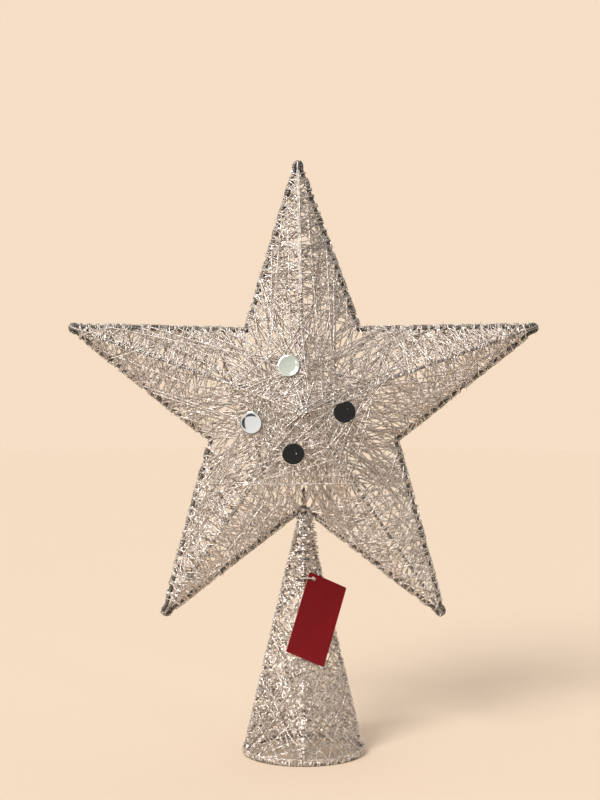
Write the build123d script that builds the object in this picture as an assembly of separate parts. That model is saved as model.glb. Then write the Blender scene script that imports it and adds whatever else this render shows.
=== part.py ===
from build123d import *
import cmath
import math
import os

# Tree topper star: hairpin arm wires, ridge wires to a front and a back apex, and a yarn cover drawn
# over them, carried by a cone of four legs on a base ring. Lengths in millimetres, +Z up, the star
# faces -Y, and the origin is the middle of the base ring on the ground.

# Star outline
STAR_CENTRE_HEIGHT = 219.0
ARM_POINT_RADIUS = 159.0
TIP_SETBACK = 1.0
NOTCH_RADIUS = 62.0
STAR_HALF_DEPTH = 30.0
TIP_HALF_WIDTH = 2.2
TIP_BEND_RADIUS = 2.0
TOP_ARM_ANGLE = 91.3
SIDE_ARM_ANGLE = 19.5
LOWER_ARM_ANGLE = -55.8
EDGE_WIRE_DIA = 2.5
RIDGE_WIRE_DIA = 2.0
APEX_BEAD_DIA = 8.0

# Cone and neck
RING_AXIS_RADIUS = 37.2
RING_WIRE_DIA = 2.5
RING_FOOT_FLAT = 0.3
LEG_WIRE_DIA = 2.0
NECK_DROP = 8.0
STEM_RISE = 12.0

# Yarn nets on the star and on the cone. Within the span radius the yarn runs straight from one ridge
# to the next, and outside it from the ridge to the edges
SPAN_RADIUS = 52.0
NET_THICKNESS = 0.7
STRAND_WIDTH = 0.8
STRAND_PITCH = 9.0
STRAND_TILT = 17.0
STRAND_JITTER_SHARE = 0.3
STRAND_JITTER_TURN = 2.4
LENGTHWISE_STRAND_SHARES = (0.34, 0.68)
NOTCH_CLEARANCE = 3.0
TIP_CLEARANCE = 4.0
CONE_STRAND_PITCH = 7.5
CONE_STRAND_TILT = 24.0
LEAST_GAP_WIDTH = 1.2

# Yarn wound round the neck
WINDING_PITCH = 2.0
WINDING_END_DROP = 12.0
WINDING_YARN_DIA = 0.8
WINDING_SAMPLES = 600

# Mirror sequins, placed by a share of the notch radius and an angle on the star's face
SEQUIN_DIA = 14.0
SEQUIN_THICKNESS = 0.8
SEQUIN_RADIUS_SHARES = {"upper": 0.46, "right": 0.41, "lower": 0.455, "left": 0.54}
SEQUIN_ANGLES = {"upper": 108.5, "right": 357.0, "lower": 257.0, "left": 194.3}

# Hang tag and its loop on the front leg
TAG_LENGTH = 53.0
TAG_WIDTH = 28.0
TAG_THICKNESS = 0.6
TAG_CORNER_RADIUS = 1.0
TAG_HOLE_DIA = 3.0
TAG_HOLE_FROM_SIDE = 4.0
TAG_HOLE_FROM_TOP = 3.2
TAG_DROP = 37.0
TAG_SIDE_OFFSET = 5.6
TAG_YARN_ROOM = 1.8
TAG_TURN = 28.0
TAG_LEAN = 18.5
TAG_LIFT_LIMIT = 40.0
LOOP_DIA = 0.8
LOOP_BEND_RADIUS = 1.5
LOOP_ROOM = 5.0

# Clearances
WIRE_GAP = 0.1
NET_GAP = 0.3
WINDING_GAP = 0.3
SEQUIN_GAP = 0.15
LOOP_GAP = 0.3

EDGE_RADIUS = EDGE_WIRE_DIA / 2
RIDGE_RADIUS = RIDGE_WIRE_DIA / 2
RING_RADIUS = RING_WIRE_DIA / 2
LEG_RADIUS = LEG_WIRE_DIA / 2
LOOP_RADIUS = LOOP_DIA / 2
NET_LIFT = EDGE_RADIUS + NET_GAP + NET_THICKNESS / 2

# Arms by their angle on the star's face, anticlockwise as seen from the front, and the names of the
# two facets of each arm, the clockwise one first
ARM_ANGLES = {
    "right": SIDE_ARM_ANGLE,
    "top": TOP_ARM_ANGLE,
    "left": 180.0 - SIDE_ARM_ANGLE,
    "lower_left": 180.0 - LOWER_ARM_ANGLE,
    "lower_right": 360.0 + LOWER_ARM_ANGLE,
}
FACET_SIDES = {
    "right": ("lower", "upper"),
    "top": ("right", "left"),
    "left": ("upper", "lower"),
    "lower_left": ("outer", "inner"),
    "lower_right": ("inner", "outer"),
}
ARMS = list(ARM_ANGLES)
FACES = {"front": 1, "back": -1}
LEG_ANGLES = {"front": 270.0, "right": 0.0, "back": 90.0, "left": 180.0}
LEGS = list(LEG_ANGLES)

parts = {}


def star_point(radius, angle, depth=0):
    """Point on the star's face, depth measured towards the front."""
    turn = math.radians(angle)
    return Vector(radius * math.cos(turn), -depth, STAR_CENTRE_HEIGHT + radius * math.sin(turn))


def round_bar(start, end, radius):
    """Straight round wire from start to end."""
    run = end - start
    return Solid.make_cylinder(radius, run.length, Plane(start, z_dir=run))


def bent_wire(path, radius):
    """Round wire swept along a path of straight runs and arcs."""
    return sweep(Plane(path @ 0, z_dir=path % 0) * Circle(radius), path=path)


def notch_angles(arm):
    """Angles of the notches beside an arm, the clockwise one first."""
    place = ARMS.index(arm)
    here = ARM_ANGLES[arm]
    before = ARM_ANGLES[ARMS[place - 1]] - (360 if place == 0 else 0)
    after = ARM_ANGLES[ARMS[(place + 1) % len(ARMS)]] + (360 if place == len(ARMS) - 1 else 0)
    return (before + here) / 2, (here + after) / 2


def clip(polygon, base, normal, offset):
    """Part of a flat polygon at least offset from a line, on the side that the unit normal points to."""
    heights = [((point - base) * normal.conjugate()).real - offset for point in polygon]
    kept = []
    for index, point in enumerate(polygon):
        if heights[index - 1] * heights[index] < 0:
            share = heights[index - 1] / (heights[index - 1] - heights[index])
            kept.append(polygon[index - 1] + share * (point - polygon[index - 1]))
        if heights[index] >= 0:
            kept.append(point)
    return kept


def moved_in(polygon, distances):
    """Convex anticlockwise polygon with its sides moved in, the side that leaves the first corner first."""
    reach = 2 * max(abs(point) for point in polygon)
    region = [complex(-reach, -reach), complex(reach, -reach), complex(reach, reach), complex(-reach, reach)]
    for index, distance in enumerate(distances):
        side = polygon[(index + 1) % len(polygon)] - polygon[index]
        region = clip(region, polygon[index], side / abs(side) * 1j, distance)
    return region


def inset(polygon, distance):
    """Convex anticlockwise polygon moved in alike from all its sides."""
    return moved_in(polygon, [distance] * len(polygon))


def gaps_between(region, strands):
    """Gaps that straight strands leave in a flat region, without the ones too narrow to see through."""
    cells = [region]
    for base, direction in strands:
        normals = (direction * 1j, direction * -1j)
        cells = [clip(cell, base, normal, STRAND_WIDTH / 2) for cell in cells for normal in normals]
        cells = [cell for cell in cells if len(cell) > 2]
    return [cell for cell in cells if len(inset(cell, LEAST_GAP_WIDTH / 2)) > 2]


def flat_net(plane, outline, strands):
    """Yarn net: one holed face in the plane, given its thickness."""
    base = plane.offset(-NET_THICKNESS / 2)
    rings = [outline] + gaps_between(inset(outline, STRAND_WIDTH), strands)
    wires = []
    for ring in rings:
        corners = [base.from_local_coords(Vector(point.real, point.imag)) for point in ring]
        wires.append(Wire.make_polygon(corners, close=True))
    return Solid.extrude(Face(wires[0], wires[1:]), plane.z_dir * NET_THICKNESS), len(wires) - 1


def crossing_strands(length, pitch, tilts):
    """Strands that cross a panel, a family for each tilt, unevenly spaced along its length."""
    strands = []
    for family, tilt in enumerate(tilts):
        for index in range(int(length / pitch)):
            swing = STRAND_JITTER_SHARE * math.sin(STRAND_JITTER_TURN * (index + family))
            place = (index + (family + 1) / (len(tilts) + 1) + swing) * pitch
            strands.append((complex(place, 0), cmath.rect(1, math.radians(90 + tilt))))
    return strands


# Arm wires: two for each arm, the clockwise one bent round a narrow tip to meet the other, and both
# mitred where they meet the next arm at a notch
crowns = {}
edge_tubes = {}
for arm, angle in ARM_ANGLES.items():
    point = star_point(ARM_POINT_RADIUS, angle)
    notches = [star_point(NOTCH_RADIUS, notch) for notch in notch_angles(arm)]
    runs = [(notch - point).normalized() for notch in notches]
    inward = (runs[0] + runs[1]).normalized()
    across = (runs[0] - runs[1]).normalized()
    shoulder = TIP_HALF_WIDTH / runs[0].dot(across)
    crowns[arm] = point + inward * TIP_SETBACK
    joint = point + runs[1] * (shoulder + EDGE_WIRE_DIA)
    ends = [notch + run * EDGE_WIRE_DIA for notch, run in zip(notches, runs)]
    hook_corners = [
        ends[0],
        point + runs[0] * shoulder,
        crowns[arm] + across * TIP_HALF_WIDTH,
        crowns[arm] - across * TIP_HALF_WIDTH,
        point + runs[1] * shoulder,
        joint,
    ]
    hook = bent_wire(FilletPolyline(*hook_corners, radius=TIP_BEND_RADIUS), EDGE_RADIUS)
    straight = round_bar(joint, ends[1], EDGE_RADIUS)
    for wire, notch, way, side in zip((hook, straight), notch_angles(arm), (1, -1), FACET_SIDES[arm]):
        aside = star_point(way, notch + 90) - star_point(0, 0)
        mitre = Plane(star_point(0, 0), z_dir=aside)
        parts[f"arm_wire_{arm}_{side}"] = split(wire, bisect_by=mitre, keep=Keep.TOP)
    edge_tubes[arm] = [round_bar(point, end, EDGE_RADIUS + WIRE_GAP) for end in ends]


def ridge_start(arm, way):
    """Outer end of a ridge wire, on the front or the back of the arm's tip."""
    return crowns[arm] - Vector(0, way * (EDGE_RADIUS + RIDGE_RADIUS + WIRE_GAP), 0)


# Ridge wires from the tips to a bead at each apex
for face, way in FACES.items():
    apex = star_point(0, 0, way * STAR_HALF_DEPTH)
    parts[f"{face}_apex_bead"] = Solid.make_sphere(APEX_BEAD_DIA / 2, Plane(apex))
    for arm in ARMS:
        start = ridge_start(arm, way)
        seat = Solid.make_sphere(APEX_BEAD_DIA / 2 + WIRE_GAP, Plane(apex, z_dir=start - apex))
        parts[f"{face}_ridge_{arm}"] = round_bar(start, apex, RIDGE_RADIUS) - seat

# Cone: the legs lean in from the base ring, and the front and back ones run up beside the bottom notch
ring_height = RING_RADIUS - RING_FOOT_FLAT
notch_height = STAR_CENTRE_HEIGHT - NOTCH_RADIUS
neck_height = notch_height - NECK_DROP
hang_height = neck_height - TAG_DROP
cone_net_top = hang_height - LOOP_ROOM
winding_start = hang_height + LOOP_ROOM
winding_turns = int((notch_height - WINDING_END_DROP - winding_start) / WINDING_PITCH)
stem_offset = EDGE_RADIUS + LEG_RADIUS + WIRE_GAP
leg_inward = (RING_AXIS_RADIUS - stem_offset) / (neck_height - ring_height)


def leg_radius_at(height):
    """Distance of the leg axes from the middle of the cone."""
    return RING_AXIS_RADIUS - leg_inward * (height - ring_height)


def leg_point(leg, height):
    """Point on the axis of a leg, below the neck."""
    turn = math.radians(LEG_ANGLES[leg])
    reach = leg_radius_at(height)
    return Vector(reach * math.cos(turn), reach * math.sin(turn), height)


meeting_height = ring_height + (RING_AXIS_RADIUS - LEG_RADIUS - WIRE_GAP) / leg_inward
ring_plane = Plane((0, 0, ring_height))
ring = Solid.make_torus(RING_AXIS_RADIUS, RING_RADIUS, ring_plane)
parts["base_ring"] = split(ring, bisect_by=Plane.XY, keep=Keep.TOP)
ring_seat = Solid.make_torus(RING_AXIS_RADIUS, RING_RADIUS + WIRE_GAP, ring_plane)
for leg in LEGS:
    foot = leg_point(leg, ring_height)
    if leg in FACES:
        neck = leg_point(leg, neck_height)
        stem_top = Vector(neck.X, neck.Y, notch_height + STEM_RISE)
        bend = Plane(neck, z_dir=(stem_top - neck).normalized() + (neck - foot).normalized())
        leg_wire = round_bar(foot, neck + (neck - foot).normalized() * LEG_WIRE_DIA, LEG_RADIUS) - ring_seat
        parts[f"cone_leg_{leg}"] = split(leg_wire, bisect_by=bend, keep=Keep.BOTTOM)
        stem_wire = round_bar(neck - Vector(0, 0, LEG_WIRE_DIA), stem_top, LEG_RADIUS)
        parts[f"neck_stem_{leg}"] = split(stem_wire, bisect_by=bend, keep=Keep.TOP)
    else:
        leg_wire = round_bar(foot, leg_point(leg, meeting_height), LEG_RADIUS) - ring_seat
        for tube in edge_tubes[f"lower_{leg}"]:
            leg_wire = leg_wire - tube
        parts[f"cone_leg_{leg}"] = leg_wire.solids().sort_by(Axis.Z)[0]


def leaving_point(arm, way):
    """Point of a ridge where the yarn to the next ridge gives way to the yarn to the edges."""
    apex = star_point(0, 0, way * STAR_HALF_DEPTH)
    return apex + (ridge_start(arm, way) - apex) * (SPAN_RADIUS / (crowns[arm] - star_point(0, 0)).length)


def net_panel(way, *corners):
    """Plane of a net, lifted off its first three corners to pass over the wires, and its flat corners."""
    along = corners[1] - corners[0]
    plane = Plane(corners[0], x_dir=along, z_dir=along.cross(corners[2] - corners[0]))
    places = [plane.to_local_coords(corner) for corner in corners]
    lift = math.copysign(NET_LIFT, -way * plane.z_dir.Y)
    return plane.offset(lift), [complex(place.X, place.Y) for place in places]


def facet_panel(arm, side, way):
    """Panel of an arm facet, from its ridge to a notch, with the arm's point as a fourth corner."""
    notch = star_point(NOTCH_RADIUS, notch_angles(arm)[side])
    point = star_point(ARM_POINT_RADIUS, ARM_ANGLES[arm])
    return net_panel(way, ridge_start(arm, way), leaving_point(arm, way), notch, point)


def span_panels(arm, way):
    """Panels from the ridge of an arm to the next one: in to the apex, and down to the notch between."""
    ends = [leaving_point(each, way) for each in (arm, ARMS[(ARMS.index(arm) + 1) % len(ARMS)])]
    apex = star_point(0, 0, way * STAR_HALF_DEPTH)
    notch = star_point(NOTCH_RADIUS, notch_angles(arm)[1])
    return net_panel(way, ends[0], ends[1], apex), net_panel(way, ends[1], ends[0], notch)


def fold_shift(plane, other):
    """Distance of the line where two lifted nets meet from the line that their corners share."""
    angle = plane.z_dir.get_angle(other.z_dir)
    return NET_LIFT * math.tan(math.radians(min(angle, 180 - angle) / 2))


def seam_room(plane, other):
    """Distance of a net's side from the shared line where it meets the next net in a hollow."""
    return fold_shift(plane, other) + NET_THICKNESS / 2 + NET_GAP


def arm_net(arm, way):
    """Yarn net of one arm, folded over its ridge, from the tip to the lines from ridge to notches."""
    panels = [facet_panel(arm, side, way) for side in range(len(FACET_SIDES[arm]))]
    ridge_fold = fold_shift(panels[0][0], panels[1][0])
    spans = (ARMS[ARMS.index(arm) - 1], arm)
    halves, gap_total = [], 0
    for (plane, (_, leaving, notch, point)), span in zip(panels, spans):
        edge = (point - notch) / abs(point - notch)
        corner = notch - edge * notch.imag / edge.imag
        seam = seam_room(plane, span_panels(span, way)[1][0])
        outline = moved_in([corner, leaving, notch], (-ridge_fold, seam, NET_GAP))
        outline = clip(outline, 0, 1, TIP_CLEARANCE)
        inward = (leaving - notch) / abs(leaving - notch) + edge
        outline = clip(outline, notch, inward / abs(inward), NOTCH_CLEARANCE)
        strands = crossing_strands(leaving.real, STRAND_PITCH, (STRAND_TILT, -STRAND_TILT))
        for share in LENGTHWISE_STRAND_SHARES:
            target = notch + share * (leaving - notch)
            strands.append((target, (target - point) / abs(target - point)))
        half, gap_count = flat_net(plane, outline, strands)
        halves.append(half)
        gap_total += gap_count
    return halves[0] + halves[1], gap_total


def span_net(arm, way):
    """Yarn net from the ridge of an arm to the next one, folded where it turns down to their notch."""
    panels = span_panels(arm, way)
    fold = fold_shift(panels[0][0], panels[1][0])
    seam = seam_room(panels[1][0], facet_panel(arm, 1, way)[0])
    notch_room = NOTCH_CLEARANCE
    if arm == "lower_left":
        stem_depth = stem_offset + LEG_RADIUS + NET_THICKNESS + NET_GAP
        slant = abs(panels[1][1][2] - panels[1][1][1] / 2)
        notch_room = stem_depth * slant / abs(leaving_point(arm, way).Y)
    halves, gap_total = [], 0
    rooms = ((NET_GAP, APEX_BEAD_DIA / 2 + NET_GAP), (seam, notch_room))
    for (plane, (first, second, end)), (side_room, end_room) in zip(panels, rooms):
        outline = moved_in([first, second, end], (-fold, side_room, side_room))
        middle = (first + second) / 2
        outline = clip(outline, end, (middle - end) / abs(middle - end), end_room)
        strands = []
        for base, direction in crossing_strands(end.imag, STRAND_PITCH, (STRAND_TILT, -STRAND_TILT)):
            strands.append((middle + base * 1j, direction * 1j))
        for share in LENGTHWISE_STRAND_SHARES:
            target = first + share * (second - first)
            strands.append((target, (end - target) / abs(end - target)))
        half, gap_count = flat_net(plane, outline, strands)
        halves.append(half)
        gap_total += gap_count
    return halves[0] + halves[1], gap_total


def cone_net(leg, next_leg):
    """Yarn net of one side of the cone, between two legs and above the base ring."""
    foot, next_foot = leg_point(leg, ring_height), leg_point(next_leg, ring_height)
    top, next_top = leg_point(leg, cone_net_top), leg_point(next_leg, cone_net_top)
    across = next_foot - foot
    plane = Plane(foot, x_dir=across, z_dir=across.cross(top - foot))
    corners = []
    for corner in (foot, next_foot, next_top, top):
        local = plane.to_local_coords(corner)
        corners.append(complex(local.X, local.Y))
    left_leg = (corners[3] - corners[0]) / abs(corners[3] - corners[0])
    right_leg = (corners[2] - corners[1]) / abs(corners[2] - corners[1])
    outline = clip(corners, corners[0], 1j, RING_RADIUS + NET_GAP + NET_THICKNESS)
    outline = clip(outline, corners[0], left_leg * -1j, LEG_RADIUS + NET_GAP)
    outline = clip(outline, corners[1], right_leg * 1j, LEG_RADIUS + NET_GAP)
    rise = corners[2].imag
    strands = []
    for base, direction in crossing_strands(rise, CONE_STRAND_PITCH, (CONE_STRAND_TILT, -CONE_STRAND_TILT)):
        strands.append((corners[1].real / 2 + base * 1j, direction * 1j))
    return flat_net(plane, outline, strands)


# Yarn nets: one to an arm and one between two arms, in front and behind, and one between two legs
gap_counts = []
for face, way in FACES.items():
    for place, arm in enumerate(ARMS):
        parts[f"{face}_net_{arm}"], gap_count = arm_net(arm, way)
        gap_counts.append(gap_count)
        next_arm = ARMS[(place + 1) % len(ARMS)]
        parts[f"{face}_span_{arm}_to_{next_arm}"], gap_count = span_net(arm, way)
        gap_counts.append(gap_count)
for place, leg in enumerate(LEGS):
    next_leg = LEGS[(place + 1) % len(LEGS)]
    net, gap_count = cone_net(leg, next_leg)
    parts[f"cone_net_{leg}_{next_leg}"] = net
    gap_counts.append(gap_count)
print("gaps in a net:", min(gap_counts), "to", max(gap_counts))

# Neck winding: yarn laid round the four legs, a quarter turn from leg to leg, as one unbroken tube
winding_bend = LEG_RADIUS + WINDING_YARN_DIA / 2 + WINDING_GAP
winding_corners = []
for quarter in range(winding_turns * len(LEGS) + 1):
    height = winding_start + WINDING_PITCH * quarter / len(LEGS)
    turn = math.radians(LEG_ANGLES["front"] + 360 * quarter / len(LEGS))
    reach = leg_radius_at(height) + winding_bend * math.sqrt(2)
    winding_corners.append(Vector(reach * math.cos(turn), reach * math.sin(turn), height))
winding_corners[0] = (winding_corners[0] + winding_corners[1]) / 2
winding_corners[-1] = (winding_corners[-1] + winding_corners[-2]) / 2
winding_path = FilletPolyline(*winding_corners, radius=winding_bend)
parts["neck_winding"] = bent_wire(winding_path, WINDING_YARN_DIA / 2)
samples = [winding_path @ (place / WINDING_SAMPLES) for place in range(WINDING_SAMPLES + 1)]
turned = [0.0]
for here, there in zip(samples, samples[1:]):
    turned.append(turned[-1] + math.degrees(cmath.phase(complex(there.X, there.Y) / complex(here.X, here.Y))))
winding_gap = min(
    (samples[later] - samples[earlier]).length - WINDING_YARN_DIA
    for earlier in range(WINDING_SAMPLES)
    for later in range(earlier, WINDING_SAMPLES)
    if 180 < turned[later] - turned[earlier] < 540
)
print("least gap between the turns of the neck winding:", round(winding_gap, 2))

# Mirror sequins, laid on the nets between the arms
forward = Vector(0, -1, 0)
for name, share in SEQUIN_RADIUS_SHARES.items():
    angle = SEQUIN_ANGLES[name]
    arm = max((each for each in ARMS if ARM_ANGLES[each] < angle), key=ARM_ANGLES.get)
    plane = span_panels(arm, 1)[0][0]
    facing = plane.z_dir * math.copysign(1, -plane.z_dir.Y)
    spot = star_point(share * NOTCH_RADIUS, angle)
    rise = NET_THICKNESS / 2 + SEQUIN_GAP - (spot - plane.origin).dot(facing)
    seat = Plane(spot + forward * (rise / forward.dot(facing)), z_dir=facing)
    parts[f"sequin_{name}"] = Solid.make_cylinder(SEQUIN_DIA / 2, SEQUIN_THICKNESS, seat)

# Hang tag: its plane follows the front leg, turned a little to the right, and hangs from its hole
hang = leg_point("front", hang_height)
leg_up = (leg_point("front", neck_height) - hang).normalized()
rightward = Vector(1, 0, 0)
leg_front = rightward.cross(leg_up)
tag_standoff = LEG_RADIUS + TAG_YARN_ROOM + TAG_THICKNESS / 2
tag_turn = math.radians(TAG_TURN)
tag_normal = leg_front * math.cos(tag_turn) + rightward * math.sin(tag_turn)
tag_across = leg_up.cross(tag_normal)
tag_lean = math.radians(TAG_LEAN)
tag_side = tag_across * math.cos(tag_lean) - leg_up * math.sin(tag_lean)
hole = hang + tag_across * TAG_SIDE_OFFSET + tag_normal * tag_standoff
card_middle = Pos(TAG_WIDTH / 2 - TAG_HOLE_FROM_SIDE, TAG_HOLE_FROM_TOP - TAG_LENGTH / 2)
card = card_middle * RectangleRounded(TAG_WIDTH, TAG_LENGTH, TAG_CORNER_RADIUS) - Circle(TAG_HOLE_DIA / 2)
tag_plane = Plane(hole, x_dir=tag_side, z_dir=tag_normal)
parts["hang_tag"] = extrude(tag_plane.offset(-TAG_THICKNESS / 2) * card, amount=TAG_THICKNESS)

# Tag loop: round the front leg and through the tag's hole, slack enough to lift the tag to its limit
loop_plane = Plane(hang, x_dir=tag_across, z_dir=tag_across.cross(tag_normal))
loop_left = -(LEG_RADIUS + LOOP_RADIUS + LOOP_GAP)
loop_back = loop_left / math.cos(math.radians(TAG_LIFT_LIMIT))
loop_front = tag_standoff + TAG_THICKNESS / 2 + LOOP_RADIUS + LOOP_GAP
loop_corners = [
    Vector(loop_left, loop_back),
    Vector(TAG_SIDE_OFFSET, loop_back),
    Vector(TAG_SIDE_OFFSET, loop_front),
    Vector(loop_left, loop_front),
]
loop_points = [loop_plane.from_local_coords(corner) for corner in loop_corners]
loop_path = FilletPolyline(*loop_points, radius=LOOP_BEND_RADIUS, close=True)
parts["tag_loop"] = bent_wire(loop_path, LOOP_RADIUS)

os.makedirs("parts", exist_ok=True)
for name, shape in parts.items():
    export_step(shape, f"parts/{name}.step", write_pcurves=False)
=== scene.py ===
import cmath
import math
import random

import bpy
from bpy.props import FloatProperty, FloatVectorProperty, IntProperty, PointerProperty
from mathutils import Matrix, Vector


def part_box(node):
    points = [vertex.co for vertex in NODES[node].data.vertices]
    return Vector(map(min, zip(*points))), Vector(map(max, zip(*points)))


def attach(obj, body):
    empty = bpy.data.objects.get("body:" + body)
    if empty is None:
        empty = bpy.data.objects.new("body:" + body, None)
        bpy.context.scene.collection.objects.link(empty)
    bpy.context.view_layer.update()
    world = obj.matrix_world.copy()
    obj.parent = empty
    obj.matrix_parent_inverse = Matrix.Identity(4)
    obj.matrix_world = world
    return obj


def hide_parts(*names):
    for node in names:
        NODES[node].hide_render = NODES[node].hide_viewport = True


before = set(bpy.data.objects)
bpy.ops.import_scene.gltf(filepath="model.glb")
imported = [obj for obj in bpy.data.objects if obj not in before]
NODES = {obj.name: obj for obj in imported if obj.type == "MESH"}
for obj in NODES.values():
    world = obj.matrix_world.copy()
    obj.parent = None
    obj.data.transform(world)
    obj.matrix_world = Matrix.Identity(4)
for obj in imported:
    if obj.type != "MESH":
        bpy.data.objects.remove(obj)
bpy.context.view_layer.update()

bl_info = {
    "name": "Yarn Star Tree Topper",
    "version": (1, 0, 0),
    "blender": (4, 5, 0),
    "location": "View3D > Sidebar > Tree Topper",
    "description": "Winds glitter yarn over the wire star and cone of a tree topper and finishes its pieces",
    "category": "Object",
}

ARMS = ("right", "top", "left", "lower_left", "lower_right")
LEG_TURNS = (-90.0, 0.0, 90.0, 180.0)
UP = Vector((0, 0, 1))
FRONT = Vector((0, -1, 0))
PARALLEL = 1e-9

# Spread of the straight runs on the star: steps of an even sequence, and how far a run strays from it
TURN_STEP, OFFSET_STEP, RUN_SCATTER = 0.7548777, 0.5698403, 0.0006
# Runs that are left out: short ones, those by a tip, and those from arm to arm that cross a ridge too far
# out, in span radii. Those that fan out from a notch are thinned
SHORTEST_RUN, BARE_TIP = 0.004, 0.0085
WIDEST, WIDEST_BY_NOTCH, BY_NOTCH = 1.1, 1.6, 0.04
FAN_REACH, FAN_THINNING = 0.016, 0.55
# How the runs are bunched on the edges, the longest step from one to the next, and the turns round a wire
BUNCHING, BUNCH_SCATTER, FIRST_BUNCH, LONGEST_STEP = 0.45, 0.0004, 0.0006, 0.012
EDGE_TURNS = (0, 35, 75)
# In yarn radii: layers of the star's runs, unevenness of a run, thickness of yarn and of loose fibres
STAR_LAYERS, RUN_STRAY = (0.9, 2.8), 0.35
YARN_WIDTHS, FIBRE_WIDTHS = (0.82, 1.22), (0.28, 0.42)
# Shares of the spacing and of the longest length of fibres
FIBRE_SPACINGS, FIBRE_LENGTHS = (0.5, 1.5), (0.4, 1.0)

# Glitter: facets to a metre, patches that are duller or brighter, and where dull turns to bright
YARN_FACETS, WIRE_FACETS = 900.0, 2600.0
PATCH_SCALE, PATCH_DETAIL, PATCH_SWAY = 60.0, 3.0, 0.5
BRIGHT_FROM, BRIGHT_TO = 0.2, 0.75
# Each finish: tilt of the facets, share of metal, least and greatest roughness, for yarns after the colours
YARN_FINISHES = {
    "star_yarn": ("yarn", 0.75, 1.0, 0.36, 0.58),
    # Cone yarn: the star's yarn with darker dull facets, painted shade of the cone
    "cone_yarn": ("cone", 0.9, 1.0, 0.27, 0.53),
    # Edge yarn: a darker copy of the star's yarn, painted shade for the outlines
    "edge_yarn": ("edge", 1.3, 1.0, 0.18, 0.45),
    # Crest strands: the star's yarn made less metallic, a painted highlight that makes the top arm's ridges
    # read as lit
    "crest_highlight_yarn": ("yarn", 0.6, 0.35, 0.3, 0.6),
}
WIRE_FINISH, WIRE_DULLING = (0.45, 0.85, 0.25, 0.5), 0.45


def node_middle(node):
    """Middle of a node's box."""
    low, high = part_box(node)
    return (Vector(low) + Vector(high)) / 2


FRONT_APEX = node_middle("front_apex_bead")
BACK_APEX = node_middle("back_apex_bead")


def a_length(name, description, default):
    return FloatProperty(name=name, description=description, unit="LENGTH", default=default)


def a_share(name, description, default):
    return FloatProperty(name=name, description=description, subtype="FACTOR", default=default)


def a_colour(name, description, default):
    return FloatVectorProperty(name=name, description=description, subtype="COLOR", default=default)


class TopperShape(bpy.types.PropertyGroup):
    """Sizes of the wire frame that the yarn is wound on."""

    centre_height: a_length(
        "Star height", "Height of the middle of the star", (FRONT_APEX.z + BACK_APEX.z) / 2)
    half_depth: a_length(
        "Half depth", "Depth of an apex from the middle of the star", (BACK_APEX.y - FRONT_APEX.y) / 2)
    point_radius: a_length("Point radius", "Distance of the sharp point of an arm", 0.159)
    crown_radius: a_length("Crown radius", "Distance of the bend at an arm's tip", 0.158)
    tip_half_width: a_length("Tip half width", "Half the distance between the wires at a tip", 0.0022)
    tip_length: a_length("Tip length", "Length of the narrow tip up to its bend", 0.0035)
    crown_depth: a_length("Crown depth", "Depth of a ridge wire at the tip", 0.00235)
    notch_radius: a_length("Notch radius", "Distance of the inner corners", 0.062)
    span_radius: a_length("Span radius", "Radius within which the yarn runs from ridge to ridge", 0.052)
    top_angle: FloatProperty(
        name="Top arm", description="Angle of the top arm in degrees", default=91.3)
    side_angle: FloatProperty(
        name="Side arms", description="Angle of the side arms in degrees", default=19.5)
    lower_angle: FloatProperty(
        name="Lower arms", description="Angle of the lower arms in degrees", default=-55.8)
    edge_radius: a_length("Edge wire", "Radius of the arm wires", 0.00125)
    ridge_radius: a_length("Ridge wire", "Radius of the ridge wires", 0.001)
    ridge_wrap: a_share("Ridge wrap", "Share of a ridge wire, from the apex, that yarn is wrapped round", 0.45)
    bead_radius: a_length("Apex bead", "Radius of the bead at an apex", 0.004)
    ring_radius: a_length("Base ring", "Radius of the base ring's axis", 0.0372)
    ring_height: a_length("Ring height", "Height of the base ring's axis", 0.00095)
    leg_wire: a_length("Leg wire", "Radius of the cone's legs", 0.001)
    neck_height: a_length("Neck height", "Height where the legs meet", 0.149)
    neck_radius: a_length("Neck radius", "Distance of the leg axes at the neck", 0.00235)
    stem_length: a_length("Stem length", "Length of the neck's stems from the neck into the star", 0.0195)


class TopperYarn(bpy.types.PropertyGroup):
    """How the yarn is wound."""

    radius: a_length("Yarn radius", "Radius of the yarn", 0.00036)
    step: a_length("Step", "Length of one facet of the yarn", 0.004)
    arm_cover: a_share("Arm cover", "Yarn on each face of the star, as a share of its area", 0.62)
    middle_cover: a_share("Middle cover", "Further yarn across the middle, as a share of its area", 0.8)
    middle_radius: a_length("Middle", "Radius of the part with further yarn", 0.05)
    cone_cover: a_share("Cone cover", "Yarn on the sides of the cone, as a share of their area", 0.82)
    fibre_spacing: a_length("Fibre spacing", "Length of yarn from one loose tinsel fibre to the next", 0.008)
    fibre_length: a_length("Fibre length", "Longest loose tinsel fibre", 0.0026)
    neck_quarters: IntProperty(
        name="Neck runs", description="Runs of yarn from leg to leg on the neck", default=200)
    bead_pitch: a_length("Bead pitch", "Spacing of the bunches of yarn along an edge", 0.0056)
    seed: IntProperty(name="Seed", description="Start of the winding's irregularity", default=11)


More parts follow.
